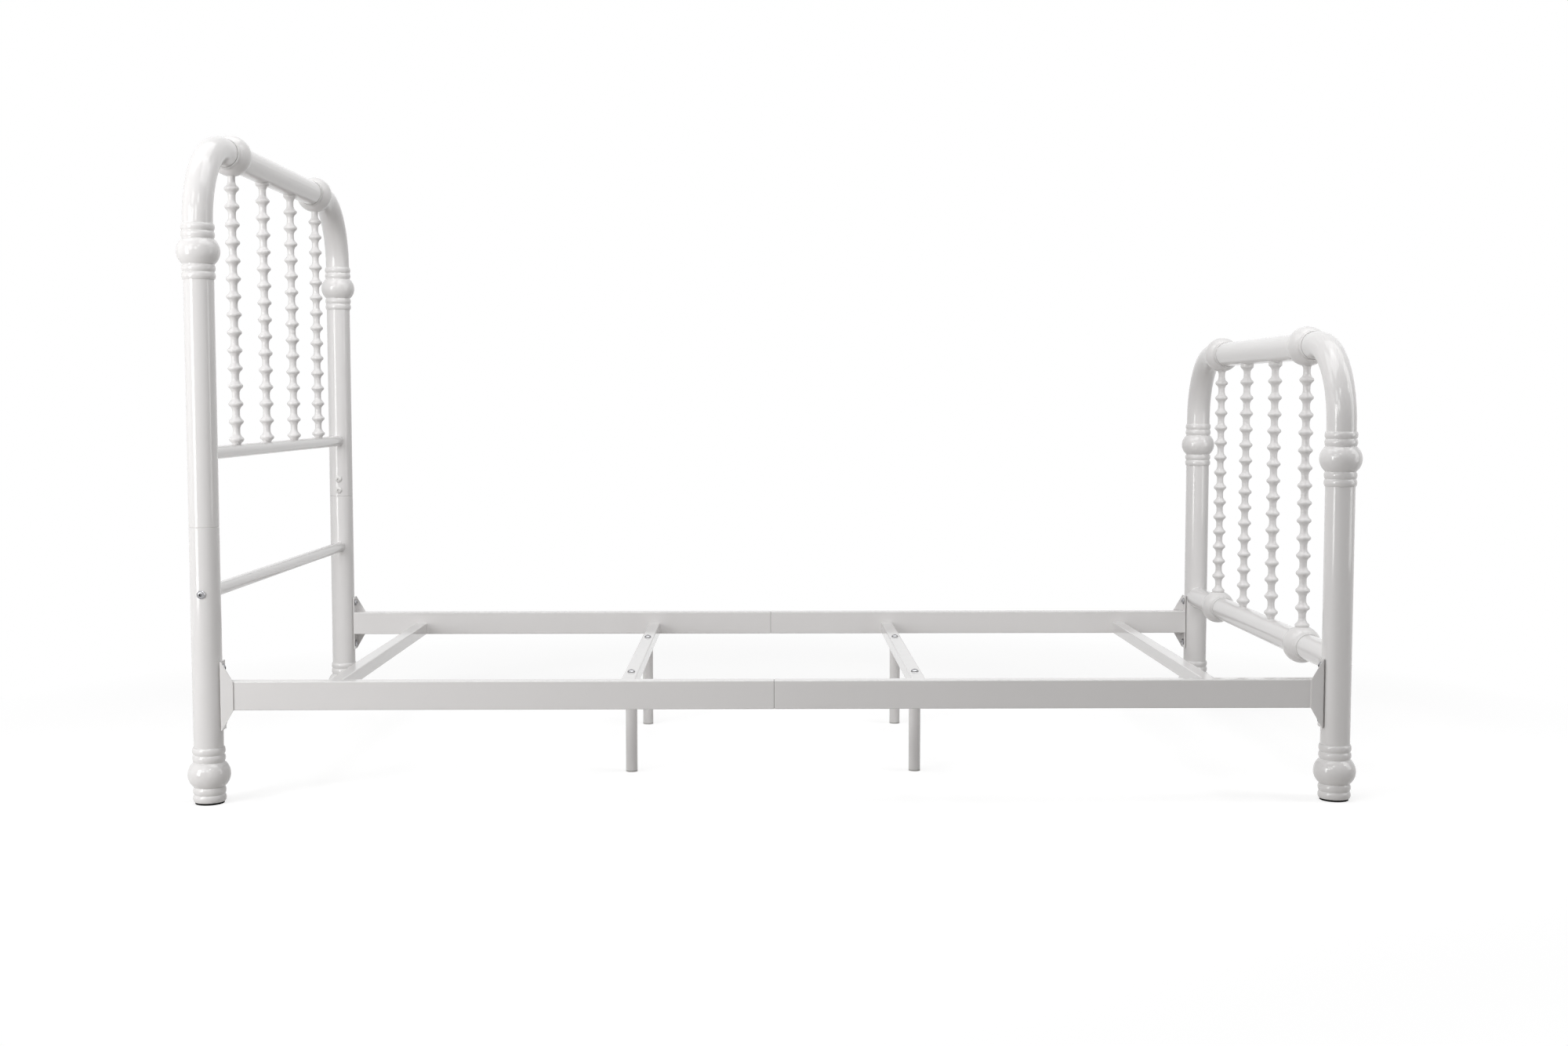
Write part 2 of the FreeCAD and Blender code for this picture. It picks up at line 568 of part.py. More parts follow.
def bolt(name, length):
    """Button-head socket bolt: head upwards from the origin, shank downwards."""
    dome_via_radius = "Places.bolt_head_radius * sqrt(0.5)"
    dome_via_level = "Sizes.bolt_rim_height + Places.bolt_crown * sqrt(0.5)"
    body = doc.addObject("PartDesign::Body", name + "_turned")
    turn(body, name + "_form", [
        ("0", "-(%s)" % length),
        ("Places.bolt_radius", "-(%s)" % length),
        ("Places.bolt_radius", "0"),
        ("Places.bolt_head_radius", "0"),
        ("Places.bolt_head_radius", "Sizes.bolt_rim_height", dome_via_radius, dome_via_level),
        ("Sizes.socket_width / 2", "Sizes.bolt_head_height"),
        ("0", "Sizes.bolt_head_height"),
    ])
    socket = bind(doc.addObject("Part::Prism", name + "_socket"),
                  Circumradius="Sizes.socket_width / 2", Height="Sizes.socket_depth + Sizes.overrun")
    socket.Polygon = HEX
    place(socket, z="Sizes.bolt_head_height - Sizes.socket_depth")
    return cut(name, body, socket)


def radial_hole(name, radius, x, y, z, toward):
    """Drill from a post's axis out through one wall."""
    return cylinder(name, radius, "Places.post_radius + Sizes.overrun", x, y, z, toward)


def bracket_bolt_levels():
    """Heights of a rail bracket's two bolts."""
    return ["Places.rail_z + (%d) * Places.bracket_bolt_rise" % way for way in (-1, 1)]


def joint_bolt_levels():
    """Heights of a headboard post's two joint bolts."""
    first = "Places.seam_height + Sizes.joint_bolt_rise"
    return [first, first + " + Sizes.joint_bolt_spacing"]


def bracket_holes(name, x, y, end):
    """Holes for the inserts of a rail bracket, on the side of a post that faces along the bed."""
    return [radial_hole("%s_bracket_hole_%d" % (name, index), "Places.nut_hole", x, y, z, ("x", -end))
            for index, z in enumerate(bracket_bolt_levels(), 1)]


def build_headboard():
    """Upper posts, legs, joint sleeves, rails, collars, ornaments and spindles of the head end."""
    x = "-Places.post_x"
    collars = {}
    ring = seam_ring("seam_ring")
    for side, sign in SIDES.items():
        y = "%d * Places.post_y" % sign
        inward = ("y", -sign)
        post_name = "headboard_upper_post_" + side
        leg_name = "headboard_leg_" + side
        sleeve_name = "headboard_joint_sleeve_" + side
        post = bent_post(post_name, x, sign, "Places.seam_height", "Sizes.headboard_height")
        leg_length = "Places.seam_height - Sizes.cap_thickness"
        leg = tube(leg_name, "Places.post_radius", "Places.post_bore", leg_length, x, y,
                   "Sizes.cap_thickness")
        low = "Places.seam_height - Sizes.sleeve_length / 2"
        sleeve = tube(sleeve_name, "Places.sleeve_radius", "Places.sleeve_bore", "Sizes.sleeve_length",
                      x, y, low)
        post_holes, sleeve_holes = [], []
        for index, z in enumerate(joint_bolt_levels(), 1):
            tag = "%s_%d" % (side, index)
            post_holes.append(radial_hole("joint_bolt_hole_" + tag, "Places.bolt_hole", x, y, z, inward))
            sleeve_holes.append(radial_hole("joint_nut_hole_" + tag, "Places.nut_hole", x, y, z, inward))
        through = cylinder("lower_rail_bolt_hole_" + side, "Places.bolt_hole",
                           "Sizes.post_diameter + 2 * Sizes.overrun", x,
                           "%d * (Places.post_y + Places.post_radius + Sizes.overrun)" % sign,
                           "Places.lower_rail_height", inward)
        groove = copy("seam_groove_" + side, ring, x, y, "Places.seam_height")
        node(post_name, cut(post_name + "_cut", post, groove, *post_holes))
        node(leg_name, cut(leg_name + "_cut", leg, groove, through, *bracket_holes(leg_name, x, y, -1)))
        node(sleeve_name, cut(sleeve_name + "_cut", sleeve, *sleeve_holes))
        ornament("headboard_ornament_" + side, x, y, "Places.headboard_ornament_height")
        ornament("headboard_foot_ornament_" + side, x, y, "Places.foot_ornament_height")
        collars[sign] = top_collar("headboard", side, x, "%d * Places.collar_y" % sign)
    top_bar = top_rail("headboard", x, "Sizes.headboard_height")
    thin = ("Places.cross_rail_radius", "Places.cross_rail_bore", x)
    spindle_rail, spindle_bar = cross_tube("headboard_spindle_rail", *thin, "Sizes.spindle_rail_height")
    lower_rail, _ = cross_tube("headboard_lower_rail", *thin, "Places.lower_rail_height")
    node("headboard_lower_rail", lower_rail)
    drills = rod_drills("headboard_spindle_rail", range(SPINDLES), "Places.cross_rail_radius", x,
                        "Sizes.spindle_rail_height", 1)
    node("headboard_spindle_rail", cut("headboard_spindle_rail_cut", spindle_rail, *drills))
    blank = spool_blank("headboard", "Places.cross_rail_radius")
    for index in range(SPINDLES):
        above = collars[1 if index else -1] if is_outer(index) else top_bar
        spindle("headboard", index, blank, x, above, spindle_bar)


def build_footboard():
    """Posts, rails, collars, ornaments and spindles of the foot end."""
    x = "Places.post_x"
    collars, lower_collars = {}, {}
    for side, sign in SIDES.items():
        y = "%d * Places.post_y" % sign
        collar_y = "%d * Places.collar_y" % sign
        name = "footboard_post_" + side
        post = bent_post(name, x, sign, "Sizes.cap_thickness", "Sizes.footboard_height")
        node(name, cut(name + "_cut", post, *bracket_holes(name, x, y, 1)))
        ornament("footboard_ornament_" + side, x, y, "Places.footboard_ornament_height")
        ornament("footboard_foot_ornament_" + side, x, y, "Places.foot_ornament_height")
        collars[sign] = top_collar("footboard", side, x, collar_y)
        lower_collars[sign] = collar("footboard_lower_collar_" + side, "Places.lower_collar_neck",
                                     "Places.lower_collar_bore", x, collar_y, "Sizes.foot_rail_height", 1)
    top_bar = top_rail("footboard", x, "Sizes.footboard_height")
    lower_rail, lower_bar = cross_tube("footboard_lower_rail", "Places.foot_rail_radius",
                                       "Places.foot_rail_bore", x, "Sizes.foot_rail_height")
    inner = [index for index in range(SPINDLES) if not is_outer(index)]
    drills = rod_drills("footboard_lower_rail", inner, "Places.foot_rail_radius", x,
                        "Sizes.foot_rail_height", 1)
    node("footboard_lower_rail", cut("footboard_lower_rail_cut", lower_rail, *drills))
    blank = spool_blank("footboard", "Places.foot_rail_radius")
    for index in range(SPINDLES):
        sign = 1 if index else -1
        above = collars[sign] if is_outer(index) else top_bar
        below = lower_collars[sign] if is_outer(index) else lower_bar
        spindle("footboard", index, blank, x, above, below)


def rod_drills(name, indices, radius, x, z, way):
    """Drills from a rail's axis through the wall that the spindles' rods enter."""
    depth = radius + " + Sizes.overrun"
    return [cylinder("%s_drill_%d" % (name, index + 1), "Places.rod_hole", depth, x, spindle_y(index), z,
                     ("z", way)) for index in indices]


def top_rail(board, x, z):
    """Top rail between the middles of its collars, drilled for the inner spindles. Returns its bar."""
    name = board + "_top_rail"
    half = "(Places.collar_y - Sizes.butt_gap / 2)"
    bar = cylinder(name + "_bar", "Places.post_radius", "2 * " + half, x, "-" + half, z, ("y", 1))
    hollow = cylinder(name + "_hollow", "Places.post_bore", "2 * " + half, x, "-" + half, z, ("y", 1))
    inner = [index for index in range(SPINDLES) if not is_outer(index)]
    drills = rod_drills(name, inner, "Places.post_radius", x, z, -1)
    node(name, cut(name + "_cut", bar, hollow, *drills))
    return bar


def spindle(board, index, blank, x, above, below):
    """One spool spindle, hollowed to sit between what is above and below it, bored for its rod."""
    name = "%s_spindle_%d" % (board, index + 1)
    top = "Places.%s_spindle_top" % board
    foot = "Places.%s_spindle_foot" % board
    stick = copy(name + "_blank", blank, x, spindle_y(index), top)
    bore = cylinder(name + "_bore", "Places.rod_hole", "%s - %s + 2 * Places.post_radius" % (top, foot),
                    x, spindle_y(index), "%s - Places.post_radius" % foot)
    node(name, cut(name + "_cut", stick, above, below, bore))


def build_rods():
    """Core rods of the spindles: into the rails, or up to the tube inside a collar."""
    in_thin_rail = "Places.headboard_spindle_foot - Sizes.cross_rail_wall - Sizes.rod_reach"
    in_foot_rail = "Places.footboard_spindle_foot - Sizes.foot_rail_wall - Sizes.rod_reach"
    on_foot_rail = "Places.footboard_spindle_foot + Sizes.fit_gap"
    rods = []
    for board, end in BOARD_ENDS.items():
        top, x = "Places.%s_spindle_top" % board, "%d * Places.post_x" % end
        for index in range(SPINDLES):
            low = in_thin_rail if board == "headboard" else in_foot_rail
            high = top + " + Sizes.post_wall + Sizes.rod_reach"
            if is_outer(index):
                low = in_thin_rail if board == "headboard" else on_foot_rail
                high = top + " - Sizes.fit_gap"
            name, length = "%s_rod_%d" % (board, index + 1), "%s - (%s)" % (high, low)
            rods.append(cylinder(name, "Places.rod_radius", length, x, spindle_y(index), low))
    group("spindle_rods", rods)


def build_feet():
    """Caps that plug the four posts."""
    caps = []
    for board, end in BOARD_ENDS.items():
        for side, sign in SIDES.items():
            name = "%s_foot_cap_%s" % (board, side)
            x, y = "%d * Places.post_x" % end, "%d * Places.post_y" % sign
            disc = cylinder(name + "_disc", "Places.cap_radius", "Sizes.cap_thickness", x, y)
            height = "Sizes.cap_thickness + Sizes.cap_plug_depth"
            plug = cylinder(name + "_plug", "Places.sleeve_radius", height, x, y)
            caps.append(fuse(name, disc, plug))
    group("foot_caps", caps)


def build_rails():
    """Side rails in two halves, their connector sleeves and their end brackets."""
    half = "Places.rail_end - Sizes.butt_gap / 2"
    connectors = []
    for side, sign in SIDES.items():
        y = "%d * Places.post_y" % sign
        for end_name, end in RAIL_ENDS.items():
            name = "side_rail_%s_%s" % (side, end_name)
            start = "-Places.rail_end" if end < 0 else "Sizes.butt_gap / 2"
            profile = square_tube(name + "_tube", "Sizes.rail_width", "Sizes.rail_height",
                                  "Sizes.rail_wall", "Sizes.rail_corner", half)
            chamfer_rim(profile, half if end < 0 else "0")
            node(name, place(profile, start, y, "Places.rail_z"))
            bracket(side, sign, end_name, end)
        name = "rail_connector_" + side
        sleeve = square_tube(name + "_tube", "Places.connector_width", "Places.connector_height",
                             "Sizes.connector_wall", "Places.connector_corner", "Sizes.connector_length")
        connectors.append(place(sleeve, "-Sizes.connector_length / 2", y, "Places.rail_z"))
    group("rail_connectors", connectors)


def bracket(side, sign, end_name, end):
    """Angle plate: a flange on the post, and a web that tapers to the outer face of the rail."""
    name = "rail_bracket_%s_%s" % (side, end_name)
    plate, reach = "Sizes.bracket_thickness", "Sizes.bracket_length"
    face, outside = "Sizes.rail_width / 2", "Sizes.rail_width / 2 + Sizes.bracket_thickness"
    tall, short = "Sizes.bracket_height / 2", "Sizes.rail_height / 2"
    angle = extrude(name + "_angle", "XY_Plane", "Sizes.bracket_height", [
        ("0", "-" + face),
        (plate, "-" + face),
        (plate, face),
        (reach, face),
        (reach, outside),
        (plate, outside, plate + " * (1 - sqrt(0.5))", face + " + %s * sqrt(0.5)" % plate),
        ("0", face),
    ])
    place(angle, z="-" + tall)
    taper = extrude(name + "_taper", "XZ_Plane", "2 * (%s)" % outside, [
        ("0", "-" + tall),
        (plate, "-" + tall),
        (reach, "-" + short),
        (reach, short),
        (plate, tall),
        ("0", tall),
    ])
    place(taper, y=outside)
    blank = doc.addObject("Part::Common", name + "_blank")
    blank.Base = angle
    blank.Tool = taper
    holes = [cylinder("%s_hole_%d" % (name, index), "Places.bolt_hole", plate + " + 2 * Sizes.overrun",
                      "-Sizes.overrun", "0", "(%d) * Places.bracket_bolt_rise" % way, ("x", 1))
             for index, way in enumerate((-1, 1), 1)]
    piece = cut(name + "_cut", blank, *holes)
    half_turn_axis = {(-1, 1): None, (-1, -1): "x", (1, 1): "y", (1, -1): "z"}[end, sign]
    half_turn = UPRIGHT
    if half_turn_axis:
        half_turn = FreeCAD.Rotation(TOWARD[half_turn_axis, 1].multVec(UP), 180)
    x, y = "%d * (Places.post_x - Places.post_radius)" % end, "%d * Places.post_y" % sign
    node(name, place(piece, x, y, "Places.rail_z", half_turn))


def slat_places():
    """Places of the slats along the bed, from head to foot, and whether support legs carry them."""
    return [("(%d / 2) * Places.slat_spacing" % (2 * index - SLATS + 1), index not in (0, SLATS - 1))
            for index in range(SLATS)]


def build_slats():
    """Cross slats, and the stubs on the side rails that they slide over."""
    stubs = []
    for index, (x, has_legs) in enumerate(slat_places(), 1):
        name = "slat_%d" % index
        stick = square_tube(name + "_tube", "Sizes.slat_size", "Sizes.slat_size", "Sizes.slat_wall",
                            "Sizes.slat_corner", "2 * Places.slat_end")
        place(stick, x, "-Places.slat_end", "Places.slat_z", FreeCAD.Rotation(UP, 90))
        holes = []
        for side, sign in SIDES.items():
            below, depth = "Sizes.rail_underside - Sizes.overrun", "Sizes.overrun + Sizes.slat_size / 2"
            bolt_y = "%d * Places.slat_bolt_y" % sign
            holes.append(cylinder("%s_hole_%s" % (name, side), "Places.bolt_hole", depth, x, bolt_y, below))
            if has_legs:
                through, leg_y = "Sizes.slat_size + 2 * Sizes.overrun", "%d * Places.leg_y" % sign
                leg_hole = "%s_leg_hole_%s" % (name, side)
                holes.append(cylinder(leg_hole, "Places.bolt_hole", through, x, leg_y, below))
            stub_name = "%s_stub_%s" % (name, side)
            stub = square_tube(stub_name + "_tube", "Places.stub_size", "Places.stub_size",
                               "Sizes.stub_wall", "Places.stub_corner", "Sizes.stub_length")
            inward = FreeCAD.Rotation(UP, -90 * sign)
            place(stub, x, "%d * Places.rail_inner_y" % sign, "Places.slat_z", inward)
            drill = cylinder(stub_name + "_drill", "Places.nut_hole", depth, x, bolt_y, below)
            stubs.append(cut(stub_name, stub, drill))
        node(name, cut(name + "_cut", stick, *holes))
    group("slat_stubs", stubs)


def build_support_legs():
    """Round legs under the middle slats, with their caps and threaded plugs. Returns the plugs."""
    caps, plugs = [], []
    for side, sign in SIDES.items():
        legs = []
        for end_name, end in RAIL_ENDS.items():
            tag = "%s_%s" % (side, end_name)
            x, y = "%d * Places.leg_x" % end, "%d * Places.leg_y" % sign
            length = "Sizes.rail_underside - Sizes.leg_cap_thickness"
            legs.append(tube("support_leg_" + tag, "Places.leg_radius", "Places.leg_bore", length, x, y,
                             "Sizes.leg_cap_thickness"))
            disc = cylinder("leg_cap_disc_" + tag, "Places.leg_radius", "Sizes.leg_cap_thickness", x, y)
            insert = cylinder("leg_cap_plug_" + tag, "Places.leg_bore - Sizes.fit_gap",
                              "Sizes.leg_cap_thickness + Sizes.leg_cap_plug_depth", x, y)
            caps.append(fuse("leg_cap_" + tag, disc, insert))
            plugs.append(tube("leg_plug_" + tag, "Places.leg_bore - Sizes.fit_gap", "Places.bolt_thread",
                              "Sizes.plug_length", x, y, "Sizes.rail_underside", ("z", -1)))
        group("support_legs_" + side, legs)
    group("support_leg_caps", caps)
    return plugs


def build_fasteners(leg_plugs):
    """Threaded plugs, inserts and bolts."""
    short = bolt("short_bolt", "Sizes.bolt_length")
    lower_bolt = bolt("lower_bolt", "Places.lower_bolt_length")
    leg_bolt = bolt("leg_bolt", "Places.leg_bolt_length")
    insert = tube("insert", "Sizes.nut_diameter / 2", "Places.bolt_thread", "Sizes.nut_length",
                  toward=("z", -1))
    plugs, inserts = list(leg_plugs), []
    joint_bolts, lower_bolts, frame_bolts, leg_bolts = [], [], [], []
    for side, sign in SIDES.items():
        y = "%d * Places.post_y" % sign
        inward, outward = TOWARD["y", -sign], TOWARD["y", sign]
        for index, z in enumerate(joint_bolt_levels(), 1):
            tag = "%s_%d" % (side, index)
            bolt_y = "%d * (Places.post_y - Places.post_radius)" % sign
            insert_y = "%d * (Places.post_y - Places.sleeve_radius + Sizes.nut_recess)" % sign
            joint_bolts.append(copy("joint_bolt_" + tag, short, "-Places.post_x", bolt_y, z, inward))
            inserts.append(copy("joint_insert_" + tag, insert, "-Places.post_x", insert_y, z, inward))
        lower_bolts.append(copy("lower_rail_bolt_" + side, lower_bolt, "-Places.post_x",
                                "%d * (Places.post_y + Places.post_radius)" % sign,
                                "Places.lower_rail_height", outward))
        plug_y = "%d * (Places.post_y - Places.post_radius)" % sign
        plugs.append(tube("lower_rail_plug_" + side, "Places.cross_rail_bore - Sizes.fit_gap",
                          "Places.bolt_thread", "Sizes.plug_length", "-Places.post_x", plug_y,
                          "Places.lower_rail_height", ("y", -sign)))
        for end_name, end in RAIL_ENDS.items():
            tag = "%s_%s" % (side, end_name)
            facing = TOWARD["x", -end]
            post_face = "Places.post_x - Places.post_radius"
            for index, z in enumerate(bracket_bolt_levels(), 1):
                seat = "%d * (%s - Sizes.bracket_thickness)" % (end, post_face)
                recess = "%d * (%s + Sizes.nut_recess)" % (end, post_face)
                frame_bolts.append(copy("bracket_bolt_%s_%d" % (tag, index), short, seat, y, z, facing))
                inserts.append(copy("bracket_insert_%s_%d" % (tag, index), insert, recess, y, z, facing))
            leg_bolts.append(copy("support_leg_bolt_" + tag, leg_bolt, "%d * Places.leg_x" % end,
                                  "%d * Places.leg_y" % sign, "Places.slat_top"))
        for index, (x, _) in enumerate(slat_places(), 1):
            tag = "%s_%d" % (side, index)
            bolt_y, down = "%d * Places.slat_bolt_y" % sign, TOWARD["z", -1]
            insert_z = "Sizes.rail_underside + Sizes.slat_wall + Sizes.slide_gap"
            frame_bolts.append(copy("slat_bolt_" + tag, short, x, bolt_y, "Sizes.rail_underside", down))
            inserts.append(copy("slat_insert_" + tag, insert, x, bolt_y, insert_z, down))
    group("threaded_plugs", plugs)
    group("threaded_inserts", inserts)
    group("post_joint_bolts", joint_bolts)
    group("lower_rail_bolts", lower_bolts)
    group("frame_bolts", frame_bolts)
    group("support_leg_bolts", leg_bolts)


def check_document():
    """Stop before anything is written if a piece failed."""
    for thing in doc.Objects:
        if "Invalid" in thing.State or "Error" in thing.State:
            raise RuntimeError("%s failed: %s" % (thing.Label, thing.State))
    for thing in nodes:
        if thing.Shape.isNull() or not thing.Shape.isValid() or not thing.Shape.Solids:
            raise RuntimeError("%s has no valid solid" % thing.Label)


def write_steps():
    """One file for each piece."""
    os.makedirs("parts", exist_ok=True)
    for thing in nodes:
        thing.Shape.exportStep("parts/%s.step" % thing.Label)


build_headboard()
build_footboard()
build_rods()
build_feet()
build_rails()
build_slats()
build_fasteners(build_support_legs())
doc.recompute()
check_document()
write_steps()
print("%d nodes, %d solids" % (len(nodes), sum(len(thing.Shape.Solids) for thing in nodes)))
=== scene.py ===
"""Looks of the white spool bed: finishes, floor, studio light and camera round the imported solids.

Lengths are in metres, in the frame of the solids: +Z up, head of the bed at -X.
"""
import json
import math

import bpy
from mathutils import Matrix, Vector

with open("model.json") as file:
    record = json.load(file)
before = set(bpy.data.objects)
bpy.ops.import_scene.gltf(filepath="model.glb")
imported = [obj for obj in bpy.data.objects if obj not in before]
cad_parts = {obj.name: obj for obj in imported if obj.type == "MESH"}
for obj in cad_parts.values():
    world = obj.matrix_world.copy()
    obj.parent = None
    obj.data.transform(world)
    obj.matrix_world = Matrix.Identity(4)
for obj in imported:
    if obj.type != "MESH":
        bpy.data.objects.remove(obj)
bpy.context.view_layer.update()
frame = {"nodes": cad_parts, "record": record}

MILLIMETRE = 0.001
WHITE = (1.0, 1.0, 1.0, 1.0)
NOISE_MIDDLE = (0.3, 0.7)

CAMERA_PLACE = (-0.0248, -3.6007, 0.6955)
CAMERA_TURN_DEG = (86.121, 0.0, -0.772)
CAMERA_LENS_MM = 41.236
SENSOR_WIDTH_MM = 36.0

# The floor. Its glow and the lamps on its lit part add up to white round the bed.
FLOOR_SIZE = 60.0
FLOOR_COLOUR = (0.52, 0.505, 0.49, 1.0)
FLOOR_DRIFT = 0.97
FLOOR_GRAIN = 0.9
FLOOR_LIT = (0.42, 0.42, 0.42, 1.0)
FLOOR_GLOW = 0.70
FLOOR_FADE = (1.25, 1.9)

# Sprayed coats. Slots: material, colour, shade, roughness, grain of the orange peel, edge radius.
COATS = {
    "white_tube": ("powder_coat", (0.80, 0.787, 0.783, 1.0), (0.78, 0.767, 0.763, 1.0),
                   0.09, 2.5 * MILLIMETRE, 0.6 * MILLIMETRE),
    "white_casting": ("casting_coat", (0.80, 0.787, 0.783, 1.0), (0.785, 0.772, 0.768, 1.0),
                      0.09, 3.5 * MILLIMETRE, 0.5 * MILLIMETRE),
    "white_bolt": ("bolt_coat", (0.82, 0.81, 0.80, 1.0), (0.80, 0.79, 0.78, 1.0),
                   0.13, 1.5 * MILLIMETRE, 0.5 * MILLIMETRE),
}
COAT_INDEX = 1.5
COAT_TONE_GRAIN = 180 * MILLIMETRE
COAT_SHEEN_GRAIN = 35 * MILLIMETRE
COAT_SHEEN_RANGE = 0.03
COAT_GROOVE = 4 * MILLIMETRE
COAT_GROOVE_RANGE = (0.3, 0.7)
# Painted shade: the darker colour laid into the grooves and corners of the coats.
COAT_PAINTED_SHADE = (0.745, 0.735, 0.725, 1.0)
PEEL_STRENGTH = 0.10
PEEL_DEPTH = 0.10 * MILLIMETRE

# Bare metals. Slots: material, colour, tarnish, roughness.
METALS = {
    "zinc_bolt": ("bright_zinc", (0.40, 0.40, 0.41, 1.0), (0.28, 0.28, 0.29, 1.0), 0.24),
    "hidden_steel": ("plain_steel", (0.48, 0.47, 0.46, 1.0), (0.36, 0.35, 0.34, 1.0), 0.42),
}
METAL_TONE_GRAIN = 4 * MILLIMETRE
METAL_SHEEN_GRAIN = 2 * MILLIMETRE
METAL_SHEEN_RANGE = 0.06
METAL_HOLLOW = 3 * MILLIMETRE
METAL_HOLLOW_RANGE = (0.5, 0.95)
# Painted shade: near black laid into the metal's recesses and sockets.
METAL_PAINTED_SHADE = (0.05, 0.05, 0.05, 1.0)
METAL_EDGE = 0.4 * MILLIMETRE
METAL_SKIN_GRAIN = 0.8 * MILLIMETRE
METAL_SKIN_STRENGTH = 0.15
METAL_SKIN_DEPTH = 0.05 * MILLIMETRE

# Mouldings. Slots: material, colour, worn colour, roughness, shine.
MOULDINGS = {
    "black_cap": ("black_rubber", (0.004, 0.004, 0.004, 1.0), (0.010, 0.010, 0.009, 1.0), 0.85, 0.05),
    "leg_cap": ("pale_plastic", (0.56, 0.555, 0.54, 1.0), (0.50, 0.495, 0.48, 1.0), 0.45, 0.4),
}
MOULD_TONE_GRAIN = 9 * MILLIMETRE
MOULD_SHEEN_GRAIN = 6 * MILLIMETRE
MOULD_SHEEN_RANGE = 0.08
MOULD_SKIN_GRAIN = 0.7 * MILLIMETRE
MOULD_SKIN_STRENGTH = 0.35
MOULD_SKIN_DEPTH = 0.15 * MILLIMETRE

# Soft boxes: name, place, the point that it faces, width, height, watts.
SOFT_BOXES = [
    ("left_strip", (-1.55, -1.05, 0.9), (-0.6, 0.2, 0.7), 0.45, 1.7, 0.5),
    ("left_box", (-3.4, -1.0, 1.4), (0.0, 0.0, 0.6), 2.4, 2.2, 9.0),
    ("tall_box_low", (-2.8, -2.5, 0.55), (-0.2, 0.0, 0.55), 0.9, 1.0, 20.0),
    ("tall_box_high", (-2.8, -2.5, 1.55), (-0.2, 0.0, 0.6), 0.9, 1.0, 27.0),
    ("front_left", (-2.0, -3.1, 1.7), (0.0, 0.0, 0.5), 0.8, 0.8, 9.8),
    ("front_window", (-0.75, -2.95, 1.8), (0.0, 0.0, 0.5), 0.7, 0.7, 6.3),
    ("front_left_high", (-2.0, -2.8, 2.7), (0.0, 0.0, 0.5), 0.9, 0.9, 8.1),
    ("front_high", (0.0, -2.9, 2.7), (0.0, 0.0, 0.5), 0.6, 0.6, 5.3),
    ("right_strip", (2.0, -0.7, 1.1), (0.7, 0.1, 0.6), 0.6, 1.7, 8.8),
    ("right_high", (3.1, -1.8, 2.4), (0.7, 0.0, 0.4), 0.5, 0.5, 3.1),
    ("top_middle", (0.2, -0.7, 2.7), (0.0, 0.0, 0.3), 1.8, 1.2, 18.5),
    ("top_left", (-1.2, -0.1, 2.5), (-0.95, 0.0, 0.6), 1.2, 2.0, 13.5),
    ("top_right", (1.3, -0.1, 2.4), (0.95, 0.0, 0.4), 1.2, 2.0, 10.0),
]
# Wide fill behind the bed, which its gloss does not show.
BACK_FILL = ("back_fill", (0.0, 3.2, 1.7), (0.0, 0.0, 0.4), 5.0, 2.6, 32.0)


def put(tree, socket, value):
    """Links a socket to another, or sets its value."""
    if isinstance(value, bpy.types.NodeSocket):
        tree.links.new(value, socket)
    else:
        socket.default_value = value


def add(tree, kind, inputs=None, **settings):
    """A new node with its settings made and its inputs, given by name or number, put in."""
    node = tree.nodes.new(kind)
    for name, value in settings.items():
        setattr(node, name, value)
    for key, value in (inputs or {}).items():
        put(tree, node.inputs[key], value)
    return node


def new_material(name):
    """A material with an empty node tree. Returns both."""
    material = bpy.data.materials.new(name)
    material.use_nodes = True
    material.node_tree.nodes.clear()
    return material, material.node_tree


def noise(tree, grain, detail=2.0, roughness=0.5):
    """Noise in the object's own space, whose grain is a length. Returns its value."""
    place = add(tree, "ShaderNodeTexCoord").outputs["Object"]
    inputs = {"Vector": place, "Scale": 1.0 / grain, "Detail": detail, "Roughness": roughness}
    return add(tree, "ShaderNodeTexNoise", inputs).outputs["Fac"]


def spread(tree, value, low, high, span=NOISE_MIDDLE):
    """Stretches a span of a value over a range. The span is the middle of noise unless told otherwise."""
    inputs = {"Value": value, "From Min": span[0], "From Max": span[1], "To Min": low, "To Max": high}
    return add(tree, "ShaderNodeMapRange", inputs).outputs["Result"]


def sheen(tree, grain, roughness, change):
    """Roughness that varies a little over the surface."""
    return spread(tree, noise(tree, grain), roughness - change, roughness + change)


def blend(tree, factor, first, second):
    """Mix of two colours."""
    node = add(tree, "ShaderNodeMix", data_type="RGBA")
    sockets = {item.identifier: item for item in node.inputs}
    put(tree, sockets["Factor_Float"], factor)
    put(tree, sockets["A_Color"], first)
    put(tree, sockets["B_Color"], second)
    return next(item for item in node.outputs if item.identifier == "Result_Color")


def painted_hollow_shade(tree, reach, span, samples, inside, outside):
    """Painted shade: one darker colour in grooves and corners, found by ambient occlusion, another on
    open surface.
    """
    open_share = add(tree, "ShaderNodeAmbientOcclusion", {"Distance": reach}, samples=samples)
    return blend(tree, spread(tree, open_share.outputs["AO"], 0.0, 1.0, span), inside, outside)


def soft_edge(tree, radius):
    """Normal that rounds the edges. It is shading only."""
    return add(tree, "ShaderNodeBevel", {"Radius": radius}, samples=4).outputs["Normal"]


def bumps(tree, height, strength, depth, **normal):
    """Normal with a fine relief, over another normal where one is given as Normal."""
    inputs = {"Strength": strength, "Distance": depth, "Height": height, **normal}
    return add(tree, "ShaderNodeBump", inputs).outputs["Normal"]


def finish(material, tree, inputs):
    """Closes a material with the shader that has these inputs."""
    shader = add(tree, "ShaderNodeBsdfPrincipled", inputs)
    add(tree, "ShaderNodeOutputMaterial", {"Surface": shader.outputs["BSDF"]})
    return material


